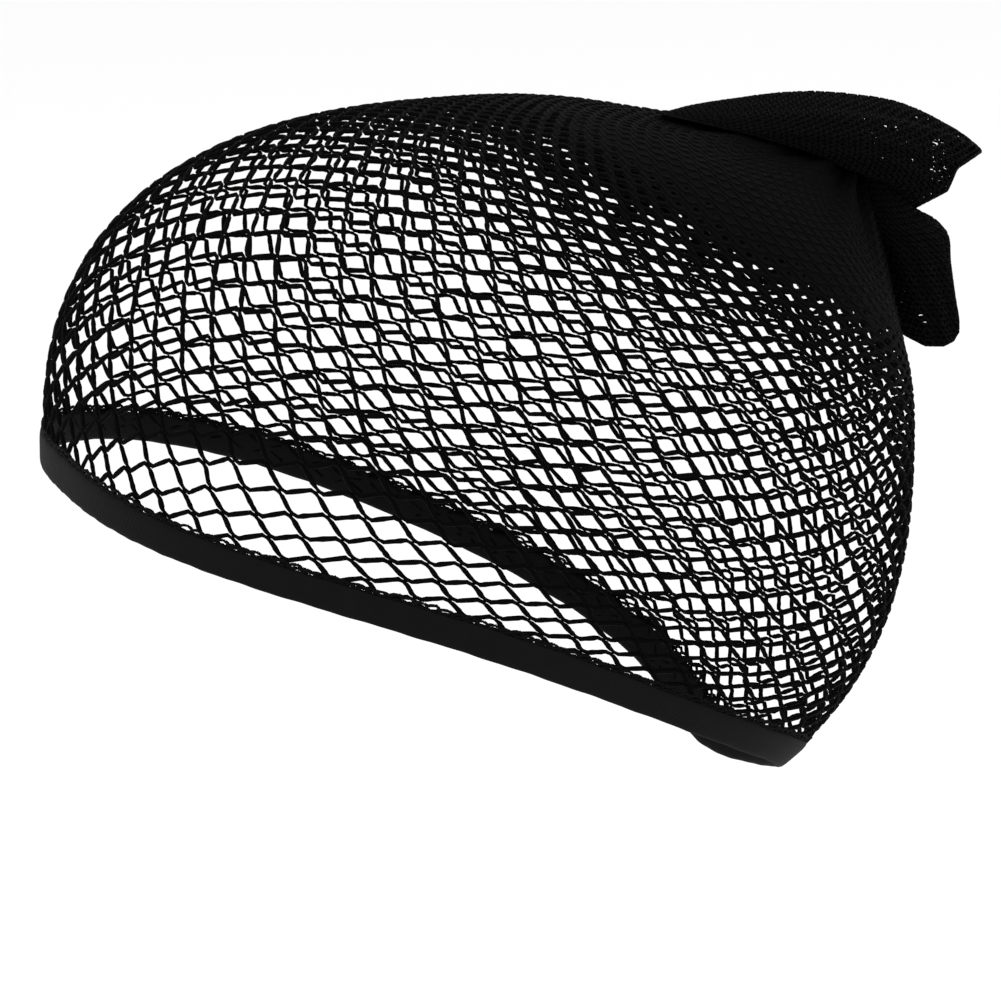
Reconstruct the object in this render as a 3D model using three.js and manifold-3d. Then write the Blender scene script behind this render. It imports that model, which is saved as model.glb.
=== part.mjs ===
import * as THREE from "three";
import { mergeVertices } from "three/addons/utils/BufferGeometryUtils.js";
import Module from "manifold-3d";

// A stretch wig cap of coarse fishnet: a hem band, a pierced crown that is drawn up like a tent to a
// gathered neck behind, the elastic wound round that neck, and the free end of the tube flaring past it.
// Millimetres and degrees. +X is the wearer's left, +Y the back and +Z up. The origin lies on the inside
// of the crown, on its centre plane, at the highest point of the hollow.

// The hollow that the cap is stretched over: a blunt egg, measured from its own centre.
const hollow = {
  halfLength: 93,
  halfBreadth: 81,
  above: 72,
  below: 88,
  bluntness: 2.46,
  widerBehind: 0.038,
};

// The knitted hem band. The heights are those of its middle line, from the centre of the hollow.
const hem = { height: 10.2, wall: 1.8, front: 2, side: 5, back: -75, steps: 60 };

// The gathered neck, on an axis that leans back from the centre of the hollow.
const neck = { tilt: 32, reach: 104.5, radius: 6, bore: 3.4, wall: 2.4, collar: 2.2 };

// The net's solid bars. Wales stand round the neck's axis and courses climb from the hem to the neck.
const net = {
  wall: 1.2,
  wales: 15,
  openCourses: 8,
  courseShare: 0.0904,
  frontSpread: 0.14,
  cornerOpening: 0.74,
  sideOpening: 0.8,
  pleatDepth: 1.6,
};

// The elastic thread wound round the neck.
const tie = { turns: 2, thread: 1.9, sides: 24 };

// The free end of the tube beyond the neck.
const ruffle = {
  upperLength: 80,
  upperHeight: 16.5,
  upperHalfWidth: 20,
  lowerDrop: 45,
  lowerReach: 30,
  lowerHalfWidth: 18,
  wall: 1.2,
  pleats: 6,
  pleatDepth: 1.7,
  around: 24,
};

const clearance = 0.3;

// Closed section of the hem band, from its lower inner edge round the inside: across is a share of the
// height from the middle line, out a share of the wall.
const hemSection = [
  { across: -0.4, out: 0 },
  { across: 0.4, out: 0 },
  { across: 0.5, out: 0.25 },
  { across: 0.5, out: 0.7 },
  { across: 0.4, out: 1 },
  { across: 0, out: 0.92 },
  { across: -0.4, out: 1 },
  { across: -0.5, out: 0.7 },
  { across: -0.5, out: 0.25 },
];

// Courses of the gathered, unpierced top of the crown, as shares of the way from hem to neck. The pleat
// is a share of the full pleat depth.
const gatheredCourses = [
  { climb: 0.79, pleat: 0.15 },
  { climb: 0.86, pleat: 0.45 },
  { climb: 0.92, pleat: 0.9 },
  { climb: 0.965, pleat: 1 },
];

// The upper lobe lies forward over the crown and runs back to a tip. Its sections stand across Y.
// along is a share of its length from its front foot, top and bottom are shares of its height above the
// neck's centre, and width is a share of its half width.
const upperFront = -0.58;
const upperSections = [
  { along: 0, top: 0.87, bottom: 0.6, width: 0.12 },
  { along: 0.13, top: 0.94, bottom: 0.4, width: 0.42 },
  { along: 0.25, top: 0.98, bottom: 0.2, width: 0.62 },
  { along: 0.375, top: 1, bottom: 0.05, width: 0.78 },
  { along: 0.5, top: 0.97, bottom: -0.1, width: 0.9 },
  { along: 0.62, top: 0.88, bottom: -0.3, width: 0.98 },
  { along: 0.745, top: 0.74, bottom: -0.72, width: 1 },
  { along: 0.87, top: 0.46, bottom: -0.78, width: 0.88 },
  { along: 0.935, top: 0.26, bottom: -0.6, width: 0.6 },
  { along: 1.01, top: -0.04, bottom: -0.2, width: 0.16 },
];

// The lower lobe hangs behind the crown. Its sections lie level: down is a share of its drop below the
// neck's centre, front and rear are shares of its reach behind that centre.
const lowerSections = [
  { down: 0.02, front: 0, rear: 0.3, width: 0.5 },
  { down: 0.12, front: -0.05, rear: 0.42, width: 0.62 },
  { down: 0.27, front: 0.02, rear: 0.58, width: 0.74 },
  { down: 0.36, front: 0.06, rear: 0.8, width: 0.82 },
  { down: 0.42, front: 0.1, rear: 0.87, width: 0.88 },
  { down: 0.7, front: 0.25, rear: 0.93, width: 1 },
  { down: 0.95, front: 0.36, rear: 0.99, width: 0.94 },
  { down: 1.06, front: 0.4, rear: 0.97, width: 0.86 },
];

// Cut edges of the two lobes, seen from the side, as shares of the upper length behind the neck's centre
// and of the lower drop above it. Everything on the far side of each edge is cut away.
const upperCut = [
  { back: 0.417, up: -0.018 },
  { back: 0.343, up: -0.1 },
  { back: 0.313, up: -0.198 },
  { back: 0.211, up: -0.271 },
];
const lowerCut = [
  { back: 0.374, up: -0.93 },
  { back: 0.346, up: -0.995 },
  { back: 0.273, up: -0.985 },
  { back: 0.1, up: -0.86 },
];

const radians = THREE.MathUtils.degToRad;
const centre = new THREE.Vector3(0, 0, -hollow.above);
const lean = radians(neck.tilt);
const neckAxis = new THREE.Vector3(0, Math.cos(lean), Math.sin(lean));
const forwardUp = new THREE.Vector3(0, -Math.sin(lean), Math.cos(lean));
const leftward = new THREE.Vector3(1, 0, 0);
const neckCentre = centre.clone().addScaledVector(neckAxis, neck.reach);

// Unit direction from the centre of the hollow, at an angle from the neck's axis and a turn round it.
function direction(opening, turn) {
  return new THREE.Vector3()
    .addScaledVector(neckAxis, Math.cos(opening))
    .addScaledVector(forwardUp, Math.sin(opening) * Math.cos(turn))
    .addScaledVector(leftward, Math.sin(opening) * Math.sin(turn));
}

// Distance from the centre of the hollow to its wall along a unit direction.
function hollowRadius(d) {
  const breadth = hollow.halfBreadth * (1 + hollow.widerBehind * d.y);
  const height = d.z > 0 ? hollow.above : hollow.below;
  const p = hollow.bluntness;
  const sum =
    (Math.abs(d.x) / breadth) ** p + (Math.abs(d.y) / hollow.halfLength) ** p + (Math.abs(d.z) / height) ** p;
  return sum ** (-1 / p);
}

// Height of the hem's middle line at the plan angle of a point: level at the forehead, low at the nape.
function hemLine(point) {
  const back = point.y / Math.hypot(point.x, point.y);
  const fall = ((hem.back - hem.front) * (1 + back)) / 2;
  return hem.front + fall + hem.side * (1 - back * back);
}

// Angle from the neck's axis at which the hem's middle line is met on one turn, by halving an interval.
function hemOpening(turn) {
  let above = radians(60);
  let below = radians(165);
  for (let i = 0; i < 40; i += 1) {
    const middle = (above + below) / 2;
    const d = direction(middle, turn);
    const point = d.multiplyScalar(hollowRadius(d));
    if (point.z > hemLine(point)) above = middle;
    else below = middle;
  }
  return (above + below) / 2;
}

// The angle that a length along the hollow's wall takes at the hem.
function hemAngleOf(length, turn) {
  return length / hollowRadius(direction(hemOpening(turn), turn));
}

// Meridian of the crown's outer face on one turn: the hollow grown by the net's wall, until a straight
// line tangent to it leaves for the neck's rim. A distance for a given angle from the axis is returned.
function crownMeridian(turn, grown) {
  const samples = 60;
  let steepest = -Infinity;
  let leave = 0;
  for (let i = 0; i <= samples; i += 1) {
    const opening = radians(6 + (54 * i) / samples);
    const d = direction(opening, turn);
    const radius = hollowRadius(d) + grown;
    const slope =
      (radius * Math.cos(opening) - neck.reach) / (radius * Math.sin(opening) - neck.radius);
    if (slope > steepest) {
      steepest = slope;
      leave = opening;
    }
  }
  return (opening) => {
    const skin = hollowRadius(direction(opening, turn)) + grown;
    if (opening > leave) return skin;
    const straight =
      (neck.reach - steepest * neck.radius) / (Math.cos(opening) - steepest * Math.sin(opening));
    return Math.max(skin, straight);
  };
}

// Turn of a wale: wales stand wider apart in front than behind.
function waleTurn(wale) {
  const t = (2 * Math.PI * wale) / net.wales;
  return t + net.frontSpread * Math.sin(t);
}

const neckOpening = Math.atan2(neck.radius, neck.reach);
const meridians = new Map();
function meridianAt(wale) {
  const key = wale.toFixed(4);
  if (!meridians.has(key)) {
    const turn = waleTurn(wale);
    const edge = hemOpening(turn) - hemAngleOf(hem.height / 2 + clearance, turn);
    meridians.set(key, { turn, edge, outer: crownMeridian(turn, net.wall) });
  }
  return meridians.get(key);
}

// Point of the crown's outer face: wale round the axis, climb from the hem's edge (0) to the neck (1).
function crownOuter(wale, climb) {
  const m = meridianAt(wale);
  const opening = m.edge + (neckOpening - m.edge) * climb;
  const d = direction(opening, m.turn);
  return d.clone().multiplyScalar(m.outer(opening)).add(centre);
}

// The outward normal there, from two short chords.
function crownNormal(wale, climb) {
  const step = 0.01;
  const high = Math.min(climb + step, 1);
  const low = Math.max(climb - step, 0);
  const alongCourse = crownOuter(wale + step, climb).sub(crownOuter(wale - step, climb));
  const alongWale = crownOuter(wale, high).sub(crownOuter(wale, low));
  return alongCourse.cross(alongWale).normalize();
}

// Both faces of the net at one place. The wall thickens towards the neck, where the net is bunched.
function netPoint(wale, climb, pleat = 0) {
  const outer = crownOuter(wale, climb);
  const normal = crownNormal(wale, climb);
  const wall = net.wall + (neck.wall - net.wall) * climb ** 4;
  outer.addScaledVector(normal, -pleat);
  return { outer, inner: outer.clone().addScaledVector(normal, -wall) };
}

// A point on the neck's own round parts, at a radius and a distance along its axis from its centre.
function neckPoint(turn, radius, along) {
  return neckCentre
    .clone()
    .addScaledVector(neckAxis, along)
    .addScaledVector(forwardUp, radius * Math.cos(turn))
    .addScaledVector(leftward, radius * Math.sin(turn));
}

// Collects triangles of a sheet that has an outer and an inner face, and the walls between them.
function sheetBuilder() {
  const positions = [];
  const triangle = (a, b, c) => positions.push(...a, ...b, ...c);
  const quad = (a, b, c, d) => {
    triangle(a, b, c);
    triangle(a, c, d);
  };
  return {
    faces(corners) {
      for (let i = 1; i + 1 < corners.length; i += 1) {
        triangle(corners[0].outer, corners[i].outer, corners[i + 1].outer);
        triangle(corners[0].inner, corners[i + 1].inner, corners[i].inner);
      }
    },
    wall(from, to) {
      quad(to.outer, from.outer, from.inner, to.inner);
    },
    geometry() {
      const raw = new THREE.BufferGeometry();
      raw.setAttribute("position", new THREE.Float32BufferAttribute(positions, 3));
      return mergeVertices(raw, 1e-4);
    },
  };
}

// Pierced crown net: diamonds between crossing bars, then the gathered top and the neck's collar.
function crownNetGeometry() {
  const sheet = sheetBuilder();
  const columns = 2 * net.wales;
  const at = (column, course, pleat) =>
    netPoint(column / 2, course * net.courseShare, pleat);
  const corners = [
    [1, 0],
    [0, 1],
    [-1, 0],
    [0, -1],
  ];
  // The eight places round a diamond, corners and middles of sides, scaled by the opening.
  const place = (column, course, index, cornerScale, sideScale) => {
    const [x0, y0] = corners[Math.floor(index / 2) % 4];
    if (index % 2 === 0) return at(column + x0 * cornerScale, course + y0 * cornerScale);
    const [x1, y1] = corners[(Math.floor(index / 2) + 1) % 4];
    return at(column + ((x0 + x1) / 2) * sideScale, course + ((y0 + y1) / 2) * sideScale);
  };
  for (let course = 0; course < net.openCourses; course += 1) {
    for (let column = course % 2; column < columns; column += 2) {
      const steps = course === 0 ? 4 : 8;
      for (let i = 0; i < steps; i += 1) {
        const rim0 = place(column, course, i, 1, 1);
        const rim1 = place(column, course, i + 1, 1, 1);
        const gap0 = place(column, course, i, net.cornerOpening, net.sideOpening);
        const gap1 = place(column, course, i + 1, net.cornerOpening, net.sideOpening);
        sheet.faces([rim0, rim1, gap1, gap0]);
        sheet.wall(gap1, gap0);
        if (course === 0 && i === 0) sheet.wall(gap0, rim0);
        if (course === 0 && i === steps - 1) sheet.wall(rim1, gap1);
      }
    }
  }
  const last = net.openCourses;
  for (let column = last % 2; column < columns; column += 2) {
    const rim = [4, 5, 6, 7, 8].map((i) => place(column, last, i, 1, 1));
    sheet.faces([at(column, last), ...rim]);
  }
  const row = (climb, pleat) =>
    Array.from({ length: columns + 1 }, (_, column) =>
      netPoint(column / 2, climb, column % 2 ? pleat * net.pleatDepth : 0),
    );
  const ring = (along) =>
    Array.from({ length: columns + 1 }, (_, column) => {
      const turn = waleTurn(column / 2);
      return {
        outer: neckPoint(turn, neck.radius, along),
        inner: neckPoint(turn, neck.bore, along === 0 ? -neck.wall : along),
      };
    });
  const rows = [
    row(last * net.courseShare, 0),
    ...gatheredCourses.map(({ climb, pleat }) => row(climb, pleat)),
    ring(0),
    ring(neck.collar),
  ];
  rows.slice(1).forEach((upper, i) => {
    const lower = rows[i];
    for (let c = 0; c < columns; c += 1) {
      sheet.faces([lower[c], lower[c + 1], upper[c + 1], upper[c]]);
    }
  });
  const rim = rows[rows.length - 1];
  for (let c = 0; c < columns; c += 1) sheet.wall(rim[c + 1], rim[c]);
  return sheet.geometry();
}

// Closed loft through rings of points. Rings run anticlockwise seen from the end of the loft, and each
// end is closed by a fan to its own middle unless the loft closes on itself.
function loft(rings, closesOnItself = false) {
  const positions = [];
  const triangle = (a, b, c) => positions.push(...a, ...b, ...c);
  const count = rings[0].length;
  const last = closesOnItself ? rings.length : rings.length - 1;
  for (let i = 0; i < last; i += 1) {
    const near = rings[i];
    const far = rings[(i + 1) % rings.length];
    for (let j = 0; j < count; j += 1) {
      const k = (j + 1) % count;
      triangle(near[j], near[k], far[k]);
      triangle(near[j], far[k], far[j]);
    }
  }
  if (!closesOnItself) {
    for (const [ring, outward] of [
      [rings[0], false],
      [rings[rings.length - 1], true],
    ]) {
      const middle = ring.reduce((sum, p) => sum.add(p), new THREE.Vector3()).divideScalar(count);
      ring.forEach((p, j) => {
        const q = ring[(j + 1) % count];
        if (outward) triangle(middle, p, q);
        else triangle(middle, q, p);
      });
    }
  }
  const raw = new THREE.BufferGeometry();
  raw.setAttribute("position", new THREE.Float32BufferAttribute(positions, 3));
  return mergeVertices(raw, 1e-4);
}

// Hem band: its section swept round the hollow's wall along the hem's middle line.
function hemBandGeometry() {
  const rings = Array.from({ length: hem.steps }, (_, i) => {
    const turn = (2 * Math.PI * i) / hem.steps;
    const middle = hemOpening(turn);
    return hemSection.map(({ across, out }) => {
      const opening = middle - hemAngleOf(across * hem.height, turn);
      const d = direction(opening, turn);
      return d.multiplyScalar(hollowRadius(d) + out * hem.wall).add(centre);
    });
  });
  return loft(rings, true);
}

// Wound elastic: a closed profile of round turns, spun about the neck's axis.
const tieInner = neck.radius + clearance;
function tieGeometry() {
  const profile = [];
  const rise = tie.thread;
  const start = (-tie.turns * rise) / 2;
  for (let turn = 0; turn < tie.turns; turn += 1) {
    for (let i = turn === 0 ? 0 : 1; i <= 4; i += 1) {
      const a = -Math.PI / 2 + (Math.PI * i) / 4;
      const bulge = (tie.thread / 2) * Math.cos(a);
      const height = start + rise * (turn + 0.5) + (tie.thread / 2) * Math.sin(a);
      profile.push(new THREE.Vector2(tieInner + 0.25 * tie.thread + bulge, height));
    }
  }
  profile.push(new THREE.Vector2(tieInner, start + tie.turns * rise - 0.2 * rise));
  profile.push(new THREE.Vector2(tieInner, start + 0.2 * rise));
  profile.push(profile[0].clone());
  return new THREE.LatheGeometry(profile, tie.sides);
}

// One section of a lobe: an ellipse between its ends, rippled by pleats and drawn in by a shrink.
function lobeRing(middle, halfAlong, halfWidth, longAxis, shrink, pleat) {
  return Array.from({ length: ruffle.around }, (_, j) => {
    const a = (2 * Math.PI * j) / ruffle.around;
    const ripple = pleat * ruffle.pleatDepth * Math.cos(ruffle.pleats * a) - shrink;
    const long = Math.max(halfAlong + ripple, 0.4);
    const wide = Math.max(halfWidth + ripple, 0.4);
    return middle
      .clone()
      .addScaledVector(longAxis, long * Math.cos(a))
      .addScaledVector(leftward, wide * Math.sin(a));
  });
}

function upperLobe(shrink) {
  const up = new THREE.Vector3(0, 0, 1);
  return loft(
    upperSections.map(({ along, top, bottom, width }) => {
      const middle = neckCentre.clone();
      middle.y += (upperFront + along) * ruffle.upperLength;
      middle.z += ((top + bottom) / 2) * ruffle.upperHeight;
      const half = ((top - bottom) / 2) * ruffle.upperHeight;
      return lobeRing(middle, half, width * ruffle.upperHalfWidth, up, shrink, along);
    }),
  );
}

function lowerLobe(shrink) {
  const back = new THREE.Vector3(0, 1, 0);
  return loft(
    lowerSections.map(({ down, front, rear, width }) => {
      const middle = neckCentre.clone();
      middle.z -= down * ruffle.lowerDrop;
      middle.y += ((front + rear) / 2) * ruffle.lowerReach;
      const half = ((rear - front) / 2) * ruffle.lowerReach;
      return lobeRing(middle, half, width * ruffle.lowerHalfWidth, back, shrink, down);
    }),
  );
}

const wasm = await Module();
wasm.setup();

// A closed geometry as a solid that can be cut and joined.
function solid(geometry) {
  const bare = new THREE.BufferGeometry();
  bare.setAttribute("position", geometry.getAttribute("position").clone());
  if (geometry.index) bare.setIndex(geometry.index.clone());
  const merged = mergeVertices(bare, 1e-4);
  return new wasm.Manifold(
    new wasm.Mesh({
      numProp: 3,
      vertProperties: merged.getAttribute("position").array,
      triVerts: new Uint32Array(merged.index.array),
    }),
  );
}

function geometryOf(body) {
  const found = body.getMesh();
  const geometry = new THREE.BufferGeometry();
  geometry.setAttribute("position", new THREE.BufferAttribute(found.vertProperties, 3));
  geometry.setIndex(new THREE.BufferAttribute(found.triVerts, 1));
  geometry.computeVertexNormals();
  return geometry;
}

// The space that the crown takes up as if it were solid, grown by a clearance.
function crownSpace(grow) {
  const climbs = [0, 0.2, 0.4, 0.55, 0.68, ...gatheredCourses.map(({ climb }) => climb)];
  const columns = Array.from({ length: 2 * net.wales }, (_, column) => column / 2);
  const rings = climbs.map((climb) =>
    columns.map((wale) => crownOuter(wale, climb).addScaledVector(crownNormal(wale, climb), grow)),
  );
  for (const along of [grow, neck.collar + grow]) {
    rings.push(columns.map((wale) => neckPoint(waleTurn(wale), neck.radius + grow, along)));
  }
  return solid(loft(rings));
}

// A round tube or rod about the neck's axis, between two distances from the neck's centre.
function neckTube(inside, outside, from, to) {
  const profile = [
    new THREE.Vector2(inside, from),
    new THREE.Vector2(outside, from),
    new THREE.Vector2(outside, to),
    new THREE.Vector2(inside, to),
  ];
  if (inside > 0) profile.push(profile[0].clone());
  return solid(placeOnNeck(new THREE.LatheGeometry(profile, tie.sides)));
}

// Stands a shape that was spun about Y on the neck's axis, at the neck's centre.
function placeOnNeck(geometry) {
  const turn = new THREE.Quaternion().setFromUnitVectors(new THREE.Vector3(0, 1, 0), neckAxis);
  return geometry.applyQuaternion(turn).translate(...neckCentre);
}

// Everything beyond a cut edge, seen from the side, as a block that reaches past both flanks.
function beyondCut(edge, ...away) {
  const points = edge.map(({ back, up }) => [back * ruffle.upperLength, up * ruffle.lowerDrop]);
  const outline = new THREE.Shape([...points, ...away].map(([y, z]) => new THREE.Vector2(y, z)));
  const reach = 2 * ruffle.upperHalfWidth;
  const block = new THREE.ExtrudeGeometry(outline, { depth: 2 * reach, bevelEnabled: false });
  block.translate(0, 0, -reach);
  const toSide = new THREE.Matrix4().makeBasis(
    new THREE.Vector3(0, 1, 0),
    new THREE.Vector3(0, 0, 1),
    new THREE.Vector3(1, 0, 0),
  );
  return solid(block.applyMatrix4(toSide).translate(...neckCentre));
}

// Free end of the tube: two hollow lobes on one foot, laid on the crown and cut open at their edges.
function ruffleSolid() {
  const tieTop = clearance + tie.turns * tie.thread;
  const tieOutside = tieInner + 0.75 * tie.thread;
  const footStart = neck.collar + clearance;
  const footEnd = tieTop + 2 * neck.wall;
  const far = 2 * ruffle.upperLength;
  const [tip] = upperCut;
  const notch = upperCut[upperCut.length - 1];
  const upperAway = beyondCut(
    upperCut,
    [notch.back * ruffle.upperLength, -far],
    [far, -far],
    [far, tip.up * ruffle.lowerDrop],
  );
  const [corner] = lowerCut;
  const inner = lowerCut[lowerCut.length - 1];
  const lowerAway = beyondCut(
    lowerCut,
    [-far, inner.up * ruffle.lowerDrop],
    [-far, -far],
    [far, -far],
    [far, corner.up * ruffle.lowerDrop],
  );
  const outside = solid(upperLobe(0))
    .subtract(upperAway)
    .add(solid(lowerLobe(0)).subtract(lowerAway))
    .add(neckTube(0, neck.radius, footStart, footEnd))
    .subtract(crownSpace(clearance))
    .subtract(neckTube(neck.radius, tieOutside + clearance, 0, tieTop + clearance));
  const hollowSpace = solid(upperLobe(ruffle.wall))
    .add(solid(lowerLobe(ruffle.wall)))
    .subtract(crownSpace(clearance + ruffle.wall))
    .subtract(neckTube(0, tieOutside + clearance + ruffle.wall, -neck.wall, footEnd - neck.wall))
    .add(neckTube(0, neck.bore, 0, footEnd));
  return outside.subtract(hollowSpace);
}

const cap = new THREE.Group();
function addPiece(name, geometry, color, roughness) {
  const material = new THREE.MeshStandardMaterial({ color, roughness, metalness: 0 });
  const piece = new THREE.Mesh(geometry, material);
  piece.name = name;
  cap.add(piece);
  return piece;
}
addPiece("crown_net", crownNetGeometry(), 0x161617, 0.85);
addPiece("hem_band", hemBandGeometry(), 0x131313, 0.9);
const gatherTie = addPiece("gather_tie", tieGeometry(), 0x101011, 0.8);
gatherTie.quaternion.setFromUnitVectors(new THREE.Vector3(0, 1, 0), neckAxis);
gatherTie.position
  .copy(neckCentre)
  .addScaledVector(neckAxis, clearance + (tie.turns * tie.thread) / 2);
addPiece("topknot_ruffle", geometryOf(ruffleSolid()), 0x151516, 0.85);

export default cap;
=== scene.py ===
"""Looks of a stretch wig cap of black fishnet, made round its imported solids. Metres, +Z up."""

import math

import bpy
import numpy as np
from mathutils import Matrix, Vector


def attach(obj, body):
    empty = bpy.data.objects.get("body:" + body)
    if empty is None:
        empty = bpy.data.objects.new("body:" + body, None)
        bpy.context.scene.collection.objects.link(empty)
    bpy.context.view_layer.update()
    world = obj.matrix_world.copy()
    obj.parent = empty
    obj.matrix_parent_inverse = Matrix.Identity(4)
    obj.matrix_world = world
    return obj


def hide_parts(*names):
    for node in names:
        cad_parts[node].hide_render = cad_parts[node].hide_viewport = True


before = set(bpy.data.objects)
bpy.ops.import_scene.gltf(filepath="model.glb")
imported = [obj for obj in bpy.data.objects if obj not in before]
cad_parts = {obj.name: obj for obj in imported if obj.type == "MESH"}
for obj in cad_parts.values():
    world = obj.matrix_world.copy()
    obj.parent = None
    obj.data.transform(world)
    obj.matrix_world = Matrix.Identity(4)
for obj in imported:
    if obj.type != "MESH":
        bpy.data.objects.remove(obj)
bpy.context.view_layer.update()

# The crown net. The real one is one layer of warp-knitted fishnet, a tube of textured stretch yarn. Each
# course is a zigzag yarn round the tube, knitted to the next course along short open links, so a cell is
# a diamond with two blunt ends. It is stretched over the hollow and drawn up to a neck behind the crown.

half_length = 0.093
half_breadth = 0.081
height_above = 0.072
height_below = 0.088
bluntness = 2.46
wider_behind = 0.038
hollow_centre = np.array([0.0, 0.0, -height_above])

neck_tilt = math.radians(32)
neck_reach = 0.1045
neck_radius = 0.006
neck_axis = np.array([0.0, math.cos(neck_tilt), math.sin(neck_tilt)])
forward_up = np.array([0.0, -math.sin(neck_tilt), math.cos(neck_tilt)])
leftward = np.array([1.0, 0.0, 0.0])
neck_centre = hollow_centre + neck_reach * neck_axis
neck_opening = math.atan2(neck_radius, neck_reach)

hem_front = 0.002
hem_side = 0.005
hem_back = -0.075
# The hem lies between these angles from the neck's axis
hem_least_opening = math.radians(60)
hem_most_opening = math.radians(165)
hem_halvings = 40


def direction(opening, turn):
    """Unit direction from the centre of the hollow, by the angle from the neck's axis and round it."""
    along_axis = np.cos(opening)[..., None] * neck_axis
    upward = (np.sin(opening) * np.cos(turn))[..., None] * forward_up
    sideways = (np.sin(opening) * np.sin(turn))[..., None] * leftward
    return along_axis + upward + sideways


def hollow_radius(way):
    """Distance from the centre of the hollow to its wall, along unit directions."""
    breadth = half_breadth * (1 + wider_behind * way[..., 1])
    height = np.where(way[..., 2] > 0, height_above, height_below)
    across = np.abs(way[..., 0] / breadth) ** bluntness
    lengthwise = np.abs(way[..., 1] / half_length) ** bluntness
    upright = np.abs(way[..., 2] / height) ** bluntness
    return (across + lengthwise + upright) ** (-1 / bluntness)


def hem_opening(turn):
    """Angle from the neck's axis at which the hem's middle line is met, by halving an interval."""
    above = np.full(turn.shape, hem_least_opening)
    below = np.full(turn.shape, hem_most_opening)
    for _ in range(hem_halvings):
        middle = (above + below) / 2
        way = direction(middle, turn)
        point = way * hollow_radius(way)[..., None]
        back = point[..., 1] / np.hypot(point[..., 0], point[..., 1])
        line = hem_front + (hem_back - hem_front) * (1 + back) / 2 + hem_side * (1 - back**2)
        over = point[..., 2] > line
        above = np.where(over, middle, above)
        below = np.where(over, below, middle)
    return (above + below) / 2


# Tables at every half degree round the neck, for the hem's angle and for the straight stretch of net from
# the hollow's wall to the neck, which lands on the wall at one of the landing_samples
turn_table = np.linspace(-math.pi, math.pi, 721)
hem_table = hem_opening(turn_table)
landing_samples = np.radians(np.linspace(6, 60, 109))


def tent_tables(lift):
    """For each turn of the table, the slope of the straight stretch and the angle where it lands."""
    openings = np.broadcast_to(landing_samples, (turn_table.size, landing_samples.size))
    turns = np.broadcast_to(turn_table[:, None], openings.shape)
    radius = hollow_radius(direction(openings, turns)) + lift
    rise = radius * np.cos(openings) - neck_reach
    slopes = rise / (radius * np.sin(openings) - neck_radius)
    best = slopes.argmax(axis=1)
    return slopes[np.arange(turn_table.size), best], landing_samples[best]


def in_table(turn, values):
    return np.interp((turn + math.pi) % (2 * math.pi) - math.pi, turn_table, values)


def cap_radius(opening, turn, lift, tables):
    """Distance from the centre of the hollow to the stretched net, lifted off the hollow's wall."""
    slope = in_table(turn, tables[0])
    landing = in_table(turn, tables[1])
    skin = hollow_radius(direction(opening, turn)) + lift
    free = opening < landing
    fall = np.where(free, np.cos(opening) - slope * np.sin(opening), 1.0)
    return np.where(free, np.maximum(skin, (neck_reach - slope * neck_radius) / fall), skin)


yarn_radius = 0.00045
net_tables = tent_tables(yarn_radius)
net_wales = 52
net_courses = 75
# How far some courses have climbed from the hem's middle line to the neck, at the front, the sides and the
# back, and how their wales are turned, spread from the front and drawn to the sides, in radians. Above
# the open cells the net is slack, so its courses lie closer and its cells shut.
net_columns = ("course", "front", "side", "back", "turned", "spread", "drawn")
net_rows = [
    dict(zip(net_columns, row))
    for row in (
        (0, -0.005, -0.047, -0.071, -0.197, 0.294, 0.085),
        (2, 0.033, -0.014, -0.032, -0.17, 0.269, 0.073),
        (7, 0.128, 0.07, 0.065, -0.102, 0.205, 0.044),
        (12, 0.226, 0.16, 0.17, -0.036, 0.138, 0.016),
        (18, 0.337, 0.273, 0.299, 0.025, 0.061, 0.002),
        (24, 0.443, 0.39, 0.438, 0.07, -0.025, 0.011),
        (30, 0.534, 0.492, 0.577, 0.099, -0.113, 0.042),
        (36, 0.608, 0.57, 0.705, 0.125, -0.197, 0.082),
        (42, 0.676, 0.636, 0.8, 0.15, -0.25, 0.11),
        (52, 0.779, 0.748, 0.895, 0.16, -0.27, 0.12),
        (63, 0.885, 0.87, 0.95, 0.16, -0.27, 0.12),
        (75, 1, 1, 1, 0.16, -0.27, 0.12),
    )
]
pleat_depth = 0.0013
pleat_start = math.radians(40)
broad_pleats = 13
broad_sway = 0.9
fine_pleats = 29
fine_share = 0.4
# Courses past the last one run on along the neck's axis, into the tie
collar_step = 0.0015


def section_values(sections, key, share):
    """Smooth values of a table's columns at shares of its key column."""
    knots = np.array([row[key] for row in sections])
    share = np.clip(share, knots[0], knots[-1])
    spot = np.clip(np.searchsorted(knots, share, side="right") - 1, 0, knots.size - 2)
    width = knots[spot + 1] - knots[spot]
    t = (share - knots[spot]) / width
    values = {}
    for name in sections[0]:
        if name == key:
            continue
        column = np.array([row[name] for row in sections])
        slope = np.gradient(column, knots)
        rise = (2 * t**3 - 3 * t**2 + 1) * column[spot] + (3 * t**2 - 2 * t**3) * column[spot + 1]
        bend = (t**3 - 2 * t**2 + t) * slope[spot] + (t**3 - t**2) * slope[spot + 1]
        values[name] = rise + bend * width
    return values


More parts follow.
